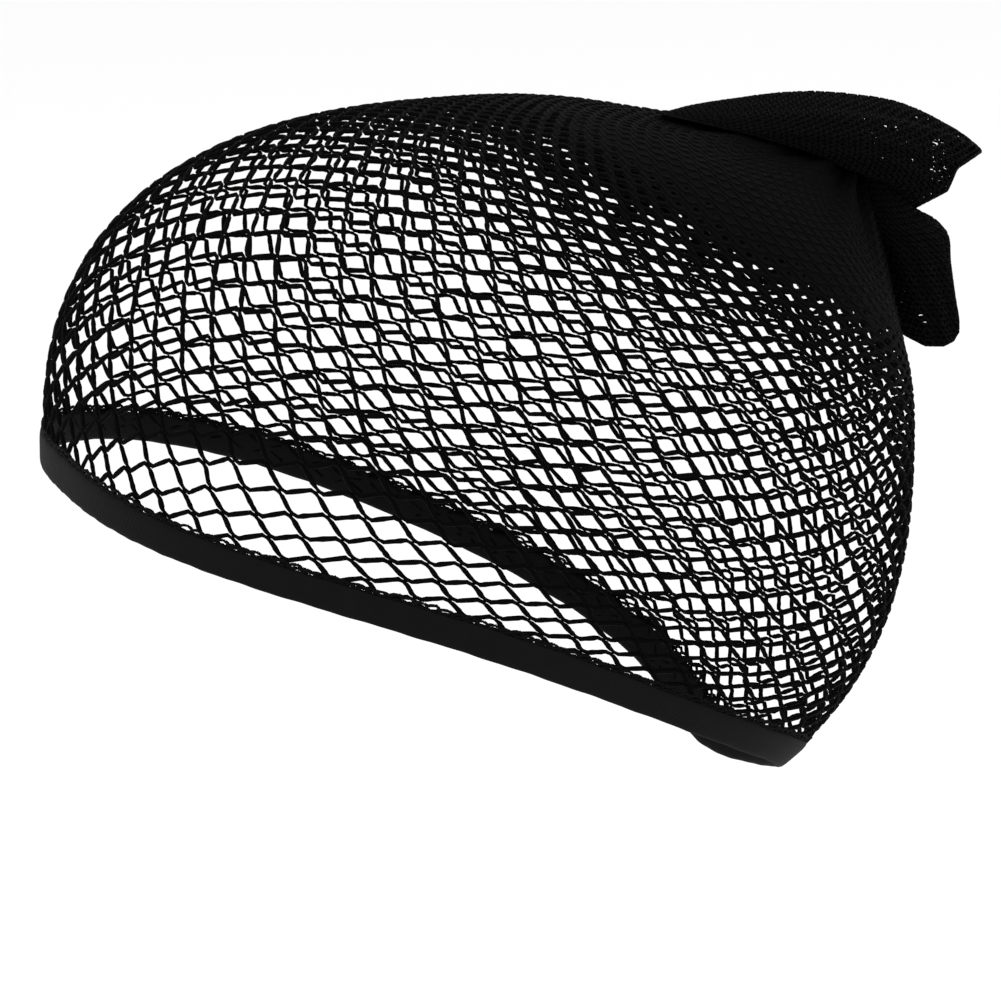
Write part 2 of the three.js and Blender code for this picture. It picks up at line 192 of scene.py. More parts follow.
def net_point(wale, course):
    """Place of the net's yarn: wale round the neck's axis, course up from the hem."""
    row = section_values(net_rows, "course", course)
    t = 2 * math.pi * wale / net_wales
    turn = t + row["turned"] + row["spread"] * np.sin(t) + row["drawn"] * np.sin(2 * t)
    level = (row["front"] + row["back"]) / 2
    climb = (level + row["side"]) / 2 + (level - row["side"]) / 2 * np.cos(2 * turn)
    climb = climb + (row["front"] - row["back"]) / 2 * np.cos(turn)
    edge = in_table(turn, hem_table)
    opening = edge + (neck_opening - edge) * climb
    radius = cap_radius(opening, turn, yarn_radius, net_tables)
    gather = np.clip((pleat_start - opening) / (pleat_start - neck_opening), 0, 1)
    folds = np.cos(broad_pleats * turn + broad_sway * np.sin(3 * turn + 1))
    folds = folds + fine_share * np.cos(fine_pleats * turn + 2)
    radius = radius - pleat_depth * gather**1.5 * (1 - folds)
    beyond = np.maximum(course - net_courses, 0) * collar_step
    return hollow_centre + direction(opening, turn) * radius[..., None] + beyond[..., None] * neck_axis


def seen_from_hollow(points):
    """Distance, unit direction, opening and turn of points from the centre of the hollow."""
    from_centre = points - hollow_centre
    reach = np.linalg.norm(from_centre, axis=-1)
    way = from_centre / reach[..., None]
    opening = np.arccos(np.clip(way @ neck_axis, -1, 1))
    turn = np.arctan2(way @ leftward, way @ forward_up)
    return reach, way, opening, turn


# Stations of a yarn from the middle of one link to the middle of the next. Its place along the leg is
# link times a link's half length plus leg times half a wale. lean is how far it has come down, split is
# how far it stands off the link's middle line, and thickness is a share of the free yarn's. The two yarns
# of a link touch in its middle, which leaves two slits.
leg_stations = [
    {"link": 0, "leg": 0, "lean": 0, "split": 0.78, "thickness": 0.74},
    {"link": 0.62, "leg": 0, "lean": 0, "split": 1.08, "thickness": 0.72},
    {"link": 1.08, "leg": 0, "lean": 0.05, "split": 1, "thickness": 0.9},
    {"link": 0.5, "leg": 0.25, "lean": 0.26, "split": 1, "thickness": 1},
    {"link": 0, "leg": 0.5, "lean": 0.5, "split": 1, "thickness": 1},
    {"link": -0.5, "leg": 0.75, "lean": 0.74, "split": 1, "thickness": 1},
    {"link": -1.08, "leg": 1, "lean": 0.95, "split": 1, "thickness": 0.9},
    {"link": -0.62, "leg": 1, "lean": 1, "split": 1.08, "thickness": 0.72},
]
link_split = 0.86
# Each link leans, by this part of a course for each half of its length
link_slant = 0.08
# Half a link is at most this part of a wale, and its yarns stand at most this part of a course off it
longest_half_link = 0.17
widest_split = 0.28
# Step in wales or courses by which the pitch of the net is measured
probe = 0.02


def station(name):
    return np.array([row[name] for row in leg_stations])


def zigzag_courses(first, last, wales, place, yarn, shifts):
    """Closed paths of the yarns of courses first to last - 1, and the yarn's radius along them."""
    course = np.arange(first, last)[:, None, None]
    stitch = np.arange(wales)[None, :, None]
    odd = course % 2
    next_stitch = (stitch + 1) % wales
    crest = shifts[course + 1, stitch]
    trough = shifts[course, np.where(odd == 1, next_stitch, stitch)]
    next_crest = shifts[course + 1, next_stitch]
    paths = []
    radii = []
    for rising, start_shift, end_shift in ((0, crest, trough), (1, trough, next_crest)):
        start = stitch + odd / 2 + rising / 2
        middle = place(start + 0.25, course + 0.5)
        pitch = np.linalg.norm(place(start + (0.25 + probe), course + 0.5) - middle, axis=-1) / probe
        step = np.linalg.norm(place(start + 0.25, course + (0.5 + probe)) - middle, axis=-1) / probe
        thickness = np.interp(pitch, yarn["pitches"], yarn["radii"])
        flat = np.minimum(yarn["half_link"] / pitch, longest_half_link)
        split = np.minimum(link_split * thickness / step, widest_split) * station("split")
        lean = station("lean")
        down = 1 - lean if rising else lean
        wale_at = start + station("link") * flat + station("leg") / 2
        course_at = course + (1 - split) - (1 - 2 * split) * down - link_slant * station("link")
        shift = start_shift * (1 - lean)[:, None] + end_shift * lean[:, None]
        paths.append(place(wale_at + shift[..., 0], course_at + shift[..., 1]))
        radii.append(thickness * station("thickness"))
    points = np.concatenate([p[:, :, None] for p in paths], axis=2)
    radius = np.concatenate([r[:, :, None] for r in radii], axis=2)
    return points.reshape(last - first, -1, 3), radius.reshape(last - first, -1)


def even_shifts(rng, courses, wales, across, up):
    """How far each link stands from its even place, in wales and courses. The first course stays level."""
    shifts = rng.normal(0, 1, (courses + 1, wales, 2)) * (across, up)
    shifts[0, :, 1] = 0
    return np.clip(shifts, -0.2, 0.2)


def add_input(tree, name, kind, value=None):
    socket = tree.interface.new_socket(name, in_out="INPUT", socket_type=kind)
    if value is not None:
        socket.default_value = value


def math_node(tree, operation, first, second=None):
    """Output of a new math node. Each value is a socket to link from, or a number to set."""
    node = tree.nodes.new("ShaderNodeMath")
    node.operation = operation
    for socket, value in zip(node.inputs, (first, second)):
        if hasattr(value, "node"):
            tree.links.new(value, socket)
        elif value is not None:
            socket.default_value = value
    return node.outputs[0]


def build_yarn_tree():
    """Geometry nodes that spin yarn along the edges of a mesh, as thick as its yarn_radius says."""
    tree = bpy.data.node_groups.new("yarn along paths", "GeometryNodeTree")
    add_input(tree, "Paths", "NodeSocketGeometry")
    add_input(tree, "Sides", "NodeSocketInt", 6)
    add_input(tree, "Unevenness", "NodeSocketFloat", 0.1)
    add_input(tree, "Seed", "NodeSocketInt", 1)
    add_input(tree, "Yarn", "NodeSocketMaterial")
    tree.interface.new_socket("Yarn Mesh", in_out="OUTPUT", socket_type="NodeSocketGeometry")
    nodes = tree.nodes
    link = tree.links.new
    given = nodes.new("NodeGroupInput")
    result = nodes.new("NodeGroupOutput")

    paths = nodes.new("GeometryNodeMeshToCurve")
    link(given.outputs["Paths"], paths.inputs["Mesh"])

    thickness = nodes.new("GeometryNodeInputNamedAttribute")
    thickness.data_type = "FLOAT"
    thickness.inputs["Name"].default_value = "yarn_radius"
    slub = nodes.new("FunctionNodeRandomValue")
    slub.data_type = "FLOAT"
    link(math_node(tree, "SUBTRACT", 1, given.outputs["Unevenness"]), slub.inputs[2])
    link(math_node(tree, "ADD", 1, given.outputs["Unevenness"]), slub.inputs[3])
    link(given.outputs["Seed"], slub.inputs["Seed"])
    uneven = math_node(tree, "MULTIPLY", thickness.outputs["Attribute"], slub.outputs[1])

    spline = nodes.new("GeometryNodeSplineParameter")
    along = nodes.new("GeometryNodeCaptureAttribute")
    along.capture_items.new("FLOAT", "Along")
    link(paths.outputs["Curve"], along.inputs["Geometry"])
    link(spline.outputs["Length"], along.inputs["Along"])

    section = nodes.new("GeometryNodeCurvePrimitiveCircle")
    section.mode = "RADIUS"
    section.inputs["Radius"].default_value = 1
    link(given.outputs["Sides"], section.inputs["Resolution"])
    spot = nodes.new("GeometryNodeInputPosition")
    around = nodes.new("GeometryNodeCaptureAttribute")
    around.capture_items.new("VECTOR", "Around")
    link(section.outputs["Curve"], around.inputs["Geometry"])
    link(spot.outputs["Position"], around.inputs["Around"])

    spun = nodes.new("GeometryNodeCurveToMesh")
    spun.inputs["Fill Caps"].default_value = True
    link(along.outputs["Geometry"], spun.inputs["Curve"])
    link(around.outputs["Geometry"], spun.inputs["Profile Curve"])
    link(uneven, spun.inputs["Scale"])

    parts = nodes.new("ShaderNodeSeparateXYZ")
    link(around.outputs["Around"], parts.inputs["Vector"])
    joined = nodes.new("ShaderNodeCombineXYZ")
    link(parts.outputs["X"], joined.inputs["X"])
    link(parts.outputs["Y"], joined.inputs["Y"])
    link(along.outputs["Along"], joined.inputs["Z"])
    stored = nodes.new("GeometryNodeStoreNamedAttribute")
    stored.data_type = "FLOAT_VECTOR"
    stored.domain = "POINT"
    stored.inputs["Name"].default_value = "yarn_place"
    link(spun.outputs["Mesh"], stored.inputs["Geometry"])
    link(joined.outputs["Vector"], stored.inputs["Value"])

    smooth = nodes.new("GeometryNodeSetShadeSmooth")
    link(stored.outputs["Geometry"], smooth.inputs["Geometry"])
    realized = nodes.new("GeometryNodeRealizeInstances")
    link(smooth.outputs["Geometry"], realized.inputs["Geometry"])
    coloured = nodes.new("GeometryNodeSetMaterial")
    link(realized.outputs["Geometry"], coloured.inputs["Geometry"])
    link(given.outputs["Yarn"], coloured.inputs["Material"])
    link(coloured.outputs["Geometry"], result.inputs[0])
    return tree


def build_yarn_surface():
    """Shader group for spun yarn: mottled colour, uneven roughness, plies and fuzz as a normal."""
    tree = bpy.data.node_groups.new("spun yarn", "ShaderNodeTree")
    add_input(tree, "Dark", "NodeSocketColor", (0.005, 0.005, 0.005, 1))
    add_input(tree, "Light", "NodeSocketColor", (0.012, 0.012, 0.013, 1))
    add_input(tree, "Ply Length", "NodeSocketFloat", 0.0016)
    add_input(tree, "Ply Depth", "NodeSocketFloat", 0.5)
    add_input(tree, "Fuzz Scale", "NodeSocketFloat", 6000)
    add_input(tree, "Bump Distance", "NodeSocketFloat", 0.0003)
    tree.interface.new_socket("Color", in_out="OUTPUT", socket_type="NodeSocketColor")
    tree.interface.new_socket("Roughness", in_out="OUTPUT", socket_type="NodeSocketFloat")
    tree.interface.new_socket("Normal", in_out="OUTPUT", socket_type="NodeSocketVector")
    nodes = tree.nodes
    link = tree.links.new
    given = nodes.new("NodeGroupInput")
    result = nodes.new("NodeGroupOutput")

    place = nodes.new("ShaderNodeAttribute")
    place.attribute_name = "yarn_place"
    parts = nodes.new("ShaderNodeSeparateXYZ")
    link(place.outputs["Vector"], parts.inputs["Vector"])
    lengths = math_node(tree, "DIVIDE", parts.outputs["Z"], given.outputs["Ply Length"])
    phase = math_node(tree, "MULTIPLY", lengths, 2 * math.pi)
    lit = math_node(tree, "MULTIPLY", parts.outputs["X"], math_node(tree, "COSINE", phase))
    shaded = math_node(tree, "MULTIPLY", parts.outputs["Y"], math_node(tree, "SINE", phase))
    twist = math_node(tree, "ADD", lit, shaded)
    raised = math_node(tree, "MULTIPLY", twist, twist)
    ply = math_node(tree, "MULTIPLY", raised, given.outputs["Ply Depth"])

    spot = nodes.new("ShaderNodeTexCoord")
    fuzz = nodes.new("ShaderNodeTexNoise")
    fuzz.inputs["Detail"].default_value = 2
    fuzz.inputs["Roughness"].default_value = 0.6
    link(spot.outputs["Object"], fuzz.inputs["Vector"])
    link(given.outputs["Fuzz Scale"], fuzz.inputs["Scale"])
    height = math_node(tree, "ADD", ply, fuzz.outputs["Fac"])
    bump = nodes.new("ShaderNodeBump")
    bump.inputs["Strength"].default_value = 0.6
    link(given.outputs["Bump Distance"], bump.inputs["Distance"])
    link(height, bump.inputs["Height"])
    link(bump.outputs["Normal"], result.inputs["Normal"])

    patches = nodes.new("ShaderNodeTexNoise")
    patches.inputs["Scale"].default_value = 700
    patches.inputs["Detail"].default_value = 3
    link(spot.outputs["Object"], patches.inputs["Vector"])
    mix = nodes.new("ShaderNodeMix")
    mix.data_type = "RGBA"
    link(patches.outputs["Fac"], mix.inputs["Factor"])
    link(given.outputs["Dark"], mix.inputs[6])
    link(given.outputs["Light"], mix.inputs[7])
    link(mix.outputs[2], result.inputs["Color"])
    rough = math_node(tree, "ADD", math_node(tree, "MULTIPLY", patches.outputs["Fac"], 0.3), 0.6)
    link(rough, result.inputs["Roughness"])
    return tree


yarn_tree = build_yarn_tree()
yarn_surface = build_yarn_surface()


def yarn_material(name, dark, light, ply_length, ply_depth, fuzz_scale, bump_distance, sheen):
    material = bpy.data.materials.new(name)
    material.use_nodes = True
    nodes = material.node_tree.nodes
    link = material.node_tree.links.new
    shader = nodes["Principled BSDF"]
    surface = nodes.new("ShaderNodeGroup")
    surface.node_tree = yarn_surface
    surface.inputs["Dark"].default_value = (*dark, 1)
    surface.inputs["Light"].default_value = (*light, 1)
    surface.inputs["Ply Length"].default_value = ply_length
    surface.inputs["Ply Depth"].default_value = ply_depth
    surface.inputs["Fuzz Scale"].default_value = fuzz_scale
    surface.inputs["Bump Distance"].default_value = bump_distance
    link(surface.outputs["Color"], shader.inputs["Base Color"])
    link(surface.outputs["Roughness"], shader.inputs["Roughness"])
    link(surface.outputs["Normal"], shader.inputs["Normal"])
    shader.inputs["Specular IOR Level"].default_value = 0.018
    shader.inputs["Sheen Weight"].default_value = sheen
    shader.inputs["Sheen Roughness"].default_value = 0.4
    return material


def spin_yarn(name, points, radii, keep, closed, sides, unevenness, seed, material):
    """Yarn as a plain mesh, along rows of points. Where keep is false the yarn is cut away."""
    rows, count = radii.shape
    ids = np.arange(rows * count).reshape(rows, count)
    ends = np.roll(ids, -1, axis=1) if closed else ids[:, 1:]
    starts = ids if closed else ids[:, :-1]
    whole = keep.reshape(-1)[starts] & keep.reshape(-1)[ends]
    edges = np.stack([starts[whole], ends[whole]], axis=1)
    used, index = np.unique(edges, return_inverse=True)
    edges = index.reshape(edges.shape)
    mesh = bpy.data.meshes.new(name + "_paths")
    mesh.vertices.add(used.size)
    mesh.vertices.foreach_set("co", points.reshape(-1, 3)[used].astype(np.float32).ravel())
    mesh.edges.add(len(edges))
    mesh.edges.foreach_set("vertices", edges.astype(np.int32).ravel())
    thickness = mesh.attributes.new("yarn_radius", "FLOAT", "POINT")
    thickness.data.foreach_set("value", radii.reshape(-1)[used].astype(np.float32))
    holder = bpy.data.objects.new(name + "_paths", mesh)
    bpy.context.scene.collection.objects.link(holder)
    modifier = holder.modifiers.new("yarn", "NODES")
    modifier.node_group = yarn_tree
    values = {"Sides": sides, "Unevenness": unevenness, "Seed": seed, "Yarn": material}
    for socket in yarn_tree.interface.items_tree:
        if socket.name in values:
            modifier[socket.identifier] = values[socket.name]
    return plain_copy(holder, name)


def plain_copy(holder, name):
    """The evaluated object as a plain mesh of its own. The holder and its modifiers are removed."""
    depsgraph = bpy.context.evaluated_depsgraph_get()
    made = bpy.data.meshes.new_from_object(holder.evaluated_get(depsgraph), depsgraph=depsgraph)
    made.name = name
    spare = holder.data
    bpy.data.objects.remove(holder)
    bpy.data.meshes.remove(spare)
    piece = bpy.data.objects.new(name, made)
    bpy.context.scene.collection.objects.link(piece)
    return piece


def mesh_object(name, points, faces, material):
    """Object with a mesh of its own, in one material."""
    mesh = bpy.data.meshes.new(name)
    mesh.from_pydata(points, [], faces)
    mesh.materials.append(material)
    piece = bpy.data.objects.new(name, mesh)
    bpy.context.scene.collection.objects.link(piece)
    return piece


net_yarn = yarn_material(
    "net_yarn",
    dark=(0.0012, 0.0012, 0.0013),
    light=(0.003, 0.003, 0.0033),
    ply_length=0.0017,
    ply_depth=0.5,
    fuzz_scale=7000,
    bump_distance=0.00015,
    sheen=0.003,
)
net_rng = np.random.default_rng(52)
# The stretch yarn is thin where the wales stand wide apart, and swells where they close on the neck
crown_yarn = {
    "half_link": 0.00118,
    "pitches": [0.001, 0.0022, 0.003, 0.0048, 0.006, 0.0075, 0.009],
    "radii": [0.0004, 0.0005, 0.00058, 0.0007, 0.00066, 0.0006, 0.00055],
}
shifted_courses = 80
crown_shifts = even_shifts(net_rng, shifted_courses, net_wales, across=0.022, up=0.035)
# The shut cells near the neck make do with every second station of the yarn
crown_parts = {
    "crown_net_lower": {"first": 0, "last": 14, "sides": 6, "every": 1},
    "crown_net_middle": {"first": 14, "last": 28, "sides": 6, "every": 1},
    "crown_net_upper": {"first": 28, "last": 43, "sides": 6, "every": 1},
    "crown_net_neck": {"first": 43, "last": 78, "sides": 5, "every": 2},
}
# How far below the hem's middle line the net is cut off, as an angle from the hollow's centre
lowest_yarn = math.radians(-1.8)
for seed, (name, part) in enumerate(crown_parts.items()):
    points, radii = zigzag_courses(
        part["first"], part["last"], net_wales, net_point, crown_yarn, crown_shifts
    )
    points = points[:, :: part["every"]]
    radii = radii[:, :: part["every"]]
    # The hem cuts across the lowest courses, whose ends are caught in the band
    opening, turn = seen_from_hollow(points)[2:]
    above_hem = in_table(turn, hem_table) - opening > lowest_yarn
    piece = spin_yarn(
        name,
        points,
        radii,
        keep=above_hem,
        closed=True,
        sides=part["sides"],
        unevenness=0.12,
        seed=11 + seed,
        material=net_yarn,
    )
    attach(piece, "root")
    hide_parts("crown_net")

# Near the neck the slack net lies in close folds between its yarns, which fill the cells from their edges.
# The corners of such a web are given in wales and courses from the middle of its cell.
web_corners = [
    {"wale": -0.12, "course": -1},
    {"wale": 0.12, "course": -1},
    {"wale": 0.26, "course": -0.5},
    {"wale": 0.42, "course": 0},
    {"wale": 0.26, "course": 0.5},
    {"wale": 0.12, "course": 1},
    {"wale": -0.12, "course": 1},
    {"wale": -0.26, "course": 0.5},
    {"wale": -0.42, "course": 0},
    {"wale": -0.26, "course": -0.5},
]
# The webs' holes narrow from the whole cell at one course to nothing at another, some more than others
web_open = 39
web_closed = 48
web_lift = 0.0003
hole_unevenness = 0.1
widest_hole = 0.95
narrowest_hole = 0.16
hole_shuts_at = 0.1
corner_rounding = 0.12
web_half_width = max(row["wale"] for row in web_corners)
rim_beyond_wales = 1.12
rim_beyond_courses = 1.1


def neck_folds(name, first, last, rng):
    """Webs that fill the cells of some courses, each with a hole that closes towards the neck."""
    course = np.arange(first, last)[:, None]
    stitch = np.arange(net_wales)[None, :]
    middle_wale = stitch + (course % 2) / 2 + 0.5
    middle_course = course + 1.0 + 0 * stitch
    hole = (web_closed - middle_course) / (web_closed - web_open)
    hole = hole + rng.normal(0, hole_unevenness, hole.shape)
    wale_out = np.array([row["wale"] for row in web_corners])
    course_out = np.array([row["course"] for row in web_corners])
    points = []
    faces = []
    for row, wale, share in zip(middle_course.ravel(), middle_wale.ravel(), hole.ravel()):
        if share > widest_hole:
            continue
        share = 0 if share < hole_shuts_at else max(share, narrowest_hole)
        # A hole is rounder than its cell, so its corners stand in a little
        rounding = share * (1 - corner_rounding * np.abs(wale_out) / web_half_width)
        rim = net_point(wale + rim_beyond_wales * wale_out, row + rim_beyond_courses * course_out)
        edge = net_point(wale + rounding * wale_out, row + rounding * course_out)
        outward = (rim - hollow_centre) / np.linalg.norm(rim - hollow_centre, axis=-1)[:, None]
        start = len(points)
        count = len(rim)
        points.extend((rim + web_lift * outward).tolist())
        points.extend((edge + web_lift * outward).tolist())
        for i in range(count):
            after = (i + 1) % count
            faces.append((start + i, start + after, start + count + after, start + count + i))
        if share == 0:
            faces = faces[:-count]
            faces.append(tuple(range(start, start + count)))
    return mesh_object(name, points, faces, net_yarn)


crown_folds = neck_folds("crown_net_folds", 36, 76, net_rng)
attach(crown_folds, "root")
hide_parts("crown_net")

# The hem band. The real one is a ribbed tape of close-knitted elastic, about 10 mm high, that is knitted
# on to the net's last course. Its upper edge is a lace of small loops in two staggered rows, which hold
# the net, and its lower edge is plain.

band_height = 0.0102
band_wall = 0.0018
lace_pitch = 0.0027
band_steps = 1080
band_sway = 0.00007
band_flutter = 0.00004
rib_width = 0.00115
row_height = 0.0007
# Section of the band, across as a share of its height from the middle line, out as a share of its wall
band_section = [
    {"across": -0.42, "out": 0.0},
    {"across": -0.1, "out": 0.02},
    {"across": 0.2, "out": 0.02},
    {"across": 0.26, "out": 0.12},
    {"across": 0.285, "out": 0.4},
    {"across": 0.27, "out": 0.72},
    {"across": 0.22, "out": 0.84},
    {"across": 0.12, "out": 0.9},
    {"across": 0.0, "out": 0.92},
    {"across": -0.12, "out": 0.92},
    {"across": -0.24, "out": 0.93},
    {"across": -0.36, "out": 0.94},
    {"across": -0.44, "out": 0.9},
    {"across": -0.485, "out": 0.76},
    {"across": -0.5, "out": 0.5},
    {"across": -0.48, "out": 0.2},
]


def band_point(turn, across, out):
    """Place on the hem: across up from its middle line and out from the hollow's wall, in metres."""
    middle = in_table(turn, hem_table)
    wall = hollow_radius(direction(middle, turn))
    way = direction(middle - across / wall, turn)
    return hollow_centre + way * (hollow_radius(way) + out)[..., None]


hem_turns = np.linspace(0, 2 * math.pi, band_steps, endpoint=False)
hem_path = band_point(hem_turns, np.zeros(band_steps), np.full(band_steps, band_wall))
hem_steps_length = np.linalg.norm(np.roll(hem_path, -1, axis=0) - hem_path, axis=-1)
hem_length = hem_steps_length.sum()
hem_distance = np.concatenate([[0], np.cumsum(hem_steps_length)[:-1]])


def hem_turn_at(distance):
    """Turn round the neck's axis at a distance along the hem."""
    known = np.append(hem_distance, hem_length)
    return np.interp(distance % hem_length, known, np.append(hem_turns, 2 * math.pi))


band_wave = band_sway * np.sin(37 * hem_turns) + band_flutter * np.sin(83 * hem_turns + 1)
band_across = np.array([row["across"] for row in band_section]) * band_height
band_out = np.array([row["out"] for row in band_section]) * band_wall
band_points = band_point(
    hem_turns[:, None] + 0 * band_across,
    band_across + band_wave[:, None],
    np.broadcast_to(band_out, (band_steps, band_out.size)),
)


def build_elastic_material(name):
    """Close-knitted matt elastic: upright ribs, rows of stitches across them, and lint."""
    material = bpy.data.materials.new(name)
    material.use_nodes = True
    tree = material.node_tree
    nodes = tree.nodes
    link = tree.links.new
    shader = nodes["Principled BSDF"]
    place = nodes.new("ShaderNodeAttribute")
    place.attribute_name = "knit_place"
    parts = nodes.new("ShaderNodeSeparateXYZ")
    link(place.outputs["Vector"], parts.inputs["Vector"])
    rib_pitch = hem_length / round(hem_length / rib_width)
    rib_phase = math_node(tree, "MULTIPLY", parts.outputs["X"], 2 * math.pi / rib_pitch)
    row_phase = math_node(tree, "MULTIPLY", parts.outputs["Y"], 2 * math.pi / row_height)
    ribs = math_node(tree, "MULTIPLY", math_node(tree, "SINE", rib_phase), 0.5)
    rows = math_node(tree, "MULTIPLY", math_node(tree, "SINE", row_phase), 0.25)
    spot = nodes.new("ShaderNodeTexCoord")
    lint = nodes.new("ShaderNodeTexNoise")
    lint.inputs["Scale"].default_value = 3500
    lint.inputs["Detail"].default_value = 3
    link(spot.outputs["Object"], lint.inputs["Vector"])
    knit = math_node(tree, "ADD", ribs, rows)
    height = math_node(tree, "ADD", knit, lint.outputs["Fac"])
    bump = nodes.new("ShaderNodeBump")
    bump.inputs["Strength"].default_value = 0.3
    bump.inputs["Distance"].default_value = 0.0001
    link(height, bump.inputs["Height"])
    link(bump.outputs["Normal"], shader.inputs["Normal"])
    worn = nodes.new("ShaderNodeTexNoise")
    worn.inputs["Scale"].default_value = 160
    worn.inputs["Detail"].default_value = 4
    link(spot.outputs["Object"], worn.inputs["Vector"])
    mix = nodes.new("ShaderNodeMix")
    mix.data_type = "RGBA"
    link(worn.outputs["Fac"], mix.inputs["Factor"])
    mix.inputs[6].default_value = (0.0033, 0.0033, 0.0034, 1)
    mix.inputs[7].default_value = (0.0051, 0.0051, 0.0053, 1)
    link(mix.outputs[2], shader.inputs["Base Color"])
    rough = math_node(tree, "ADD", math_node(tree, "MULTIPLY", lint.outputs["Fac"], 0.25), 0.68)
    link(rough, shader.inputs["Roughness"])
    shader.inputs["Specular IOR Level"].default_value = 0.06
    shader.inputs["Sheen Weight"].default_value = 0.015
    shader.inputs["Sheen Roughness"].default_value = 0.5
    return material


# Faces between each section of the tape and the next, round the closed ring
section_ids = np.arange(band_steps * band_out.size).reshape(band_steps, band_out.size)
beside_ids = np.roll(section_ids, -1, axis=1)
band_faces = np.stack(
    [section_ids, beside_ids, np.roll(beside_ids, -1, axis=0), np.roll(section_ids, -1, axis=0)], axis=-1
).reshape(-1, 4)
hem_elastic = build_elastic_material("hem_elastic")
hem_band = mesh_object(
    "hem_band_tape", band_points.reshape(-1, 3).tolist(), band_faces.tolist(), hem_elastic
)
hem_band.data.polygons.foreach_set("use_smooth", [True] * len(band_faces))
section_steps = np.linalg.norm(np.roll(band_points[0], -1, axis=0) - band_points[0], axis=-1)
band_place = np.zeros((band_steps, band_out.size, 3))
band_place[..., 0] = hem_distance[:, None]
band_place[..., 1] = np.concatenate([[0], np.cumsum(section_steps)[:-1]])
knit_place = hem_band.data.attributes.new("knit_place", "FLOAT_VECTOR", "POINT")
knit_place.data.foreach_set("vector", band_place.reshape(-1).astype(np.float32))
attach(hem_band, "root")
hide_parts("hem_band")

lace_thread = yarn_material(
    "lace_thread",
    dark=(0.003, 0.003, 0.0033),
    light=(0.006, 0.006, 0.0064),
    ply_length=0.0012,
    ply_depth=0.5,
    fuzz_scale=8000,
    bump_distance=0.00015,
    sheen=0.02,
)
lace_count = round(hem_length / lace_pitch)
lace_rng = np.random.default_rng(27)
loop_steps = 10
loop_sway = 0.09
loop_swell = 0.13
loop_squareness = 0.6


def lace_row(base, shift, height, out):
    """Path of one row of loops: arches of about the given height side by side on a base line."""
    share = np.arange(lace_count * loop_steps) / loop_steps
    sway = lace_rng.normal(0, loop_sway, lace_count + 1)
    sway[-1] = sway[0]
    swing = share + shift - loop_swell * np.sin(4 * math.pi * share)
    swing = swing + np.interp(share, np.arange(lace_count + 1), sway)
    heights = height * lace_rng.uniform(0.72, 1.25, lace_count)
    arch = np.abs(np.sin(math.pi * share)) ** loop_squareness * heights[np.floor(share).astype(int)]
    turn = hem_turn_at(swing * hem_length / lace_count)
    return band_point(turn, base + arch, np.full(turn.size, out))


lace_base = 0.24 * band_height
lace_rows = np.stack(
    [
        lace_row(lace_base, shift=0.0, height=0.001, out=0.0009),
        lace_row(lace_base + 0.0006, shift=0.5, height=0.0013, out=0.00095),
    ]
)
lace_radius = 0.00036
lace_radii = np.full(lace_rows.shape[:2], lace_radius)
hem_lace = spin_yarn(
    "hem_band_lace",
    lace_rows,
    lace_radii,
    keep=np.ones(lace_radii.shape, bool),
    closed=True,
    sides=5,
    unevenness=0.15,
    seed=31,
    material=lace_thread,
)
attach(hem_lace, "root")
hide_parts("hem_band")

# The gather tie. The real one is a thread of covered elastic, wound twice round the neck of the net, which
# draws the tube's wales together. It lies in the folds behind the crown.

tie_thread = 0.00095
tie_turns = 2
tie_start = 0.0012
tie_radius = 0.0073
tie_pitch = 0.0019
steps_a_turn = 48
tie_angles = np.linspace(0, 2 * math.pi * tie_turns, steps_a_turn * tie_turns)
tie_rise = tie_start + tie_pitch * tie_angles / (2 * math.pi)
tie_path = (
    neck_centre
    + tie_rise[:, None] * neck_axis
    + (tie_radius * np.cos(tie_angles))[:, None] * forward_up
    + (tie_radius * np.sin(tie_angles))[:, None] * leftward
)
gather_elastic = yarn_material(
    "gather_elastic",
    dark=(0.003, 0.003, 0.0033),
    light=(0.006, 0.006, 0.007),
    ply_length=0.0009,
    ply_depth=0.8,
    fuzz_scale=6000,
    bump_distance=0.0002,
    sheen=0.02,
)
tie_radii = np.full((1, tie_angles.size), tie_thread)
gather_tie = spin_yarn(
    "gather_tie_winding",
    tie_path[None],
    tie_radii,
    keep=np.ones(tie_radii.shape, bool),
    closed=False,
    sides=12,
    unevenness=0.03,
    seed=41,
    material=gather_elastic,
)
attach(gather_tie, "root")
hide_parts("gather_tie")

# The topknot ruffle. The real one is the free end of the same net tube beyond the tie, relaxed to its
# small cells and bunched in folds: an upper lobe that lies forward on the crown and runs back to a tip,
# and a lower lobe that hangs behind. Both ends are cut edges.

upper_length = 0.08
upper_height = 0.0165
upper_half_width = 0.02
lower_drop = 0.045
lower_reach = 0.03
lower_half_width = 0.018
upper_front = -0.58
# Shares of a lobe's length at its first course, and from there to its last
upper_span = 1.01
lower_start = 0.02
lower_span = 1.04
upper_sections = [
    {"along": 0, "top": 0.87, "bottom": 0.6, "width": 0.12},
    {"along": 0.13, "top": 0.94, "bottom": 0.4, "width": 0.42},
    {"along": 0.25, "top": 0.98, "bottom": 0.2, "width": 0.62},
    {"along": 0.375, "top": 1, "bottom": 0.05, "width": 0.78},
    {"along": 0.5, "top": 0.97, "bottom": -0.1, "width": 0.9},
    {"along": 0.62, "top": 0.88, "bottom": -0.3, "width": 0.98},
    {"along": 0.745, "top": 0.74, "bottom": -0.72, "width": 1},
    {"along": 0.87, "top": 0.46, "bottom": -0.78, "width": 0.88},
    {"along": 0.935, "top": 0.26, "bottom": -0.6, "width": 0.6},
    {"along": 1.01, "top": -0.04, "bottom": -0.2, "width": 0.16},
]
